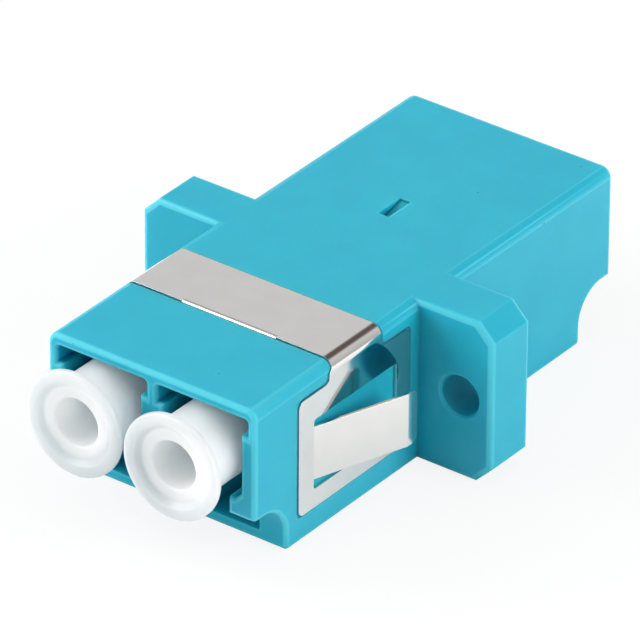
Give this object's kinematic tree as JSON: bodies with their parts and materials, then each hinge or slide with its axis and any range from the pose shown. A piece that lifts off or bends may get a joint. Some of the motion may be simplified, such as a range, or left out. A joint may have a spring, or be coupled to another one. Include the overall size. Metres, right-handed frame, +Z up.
{
  "type": "duplex lc fibre adapter",
  "caption": "Flanged panel adapter that joins two pairs of LC fibre plugs end to end, with a sprung steel panel clip and white dust caps in its front ports.",
  "frame": {"origin": "midway between the two flange screw holes, on the flange's front face, the one that seats on the panel", "axes": "+X across the two ports, +Y along the fibres from the capped front ports to the rear ports, +Z up, away from the latch side, on which the adapter lies"},
  "size_m": [0.022, 0.0327, 0.0094],
  "materials": {
    "aqua_plastic": "satin",
    "polished_steel": "polished",
    "white_plastic": "satin",
    "ceramic": "ground"
  },
  "bodies": {
    "adapter": {"housing": "aqua_plastic", "inner_holder": "aqua_plastic", "sleeve_left": "ceramic", "sleeve_right": "ceramic", "panel_clip": "polished_steel"},
    "cap_left": {"dust_cap_left": "white_plastic"},
    "cap_right": {"dust_cap_right": "white_plastic"}
  },
  "joints": [
    {"name": "cap_left_pull", "type": "slide", "parent": "adapter", "child": "cap_left", "axis": [0, -1, 0], "range_m": [0, 0.0147]},
    {"name": "cap_right_pull", "type": "slide", "parent": "adapter", "child": "cap_right", "axis": [0, -1, 0], "range_m": [-0.00025, 0.0144]}
  ]
}
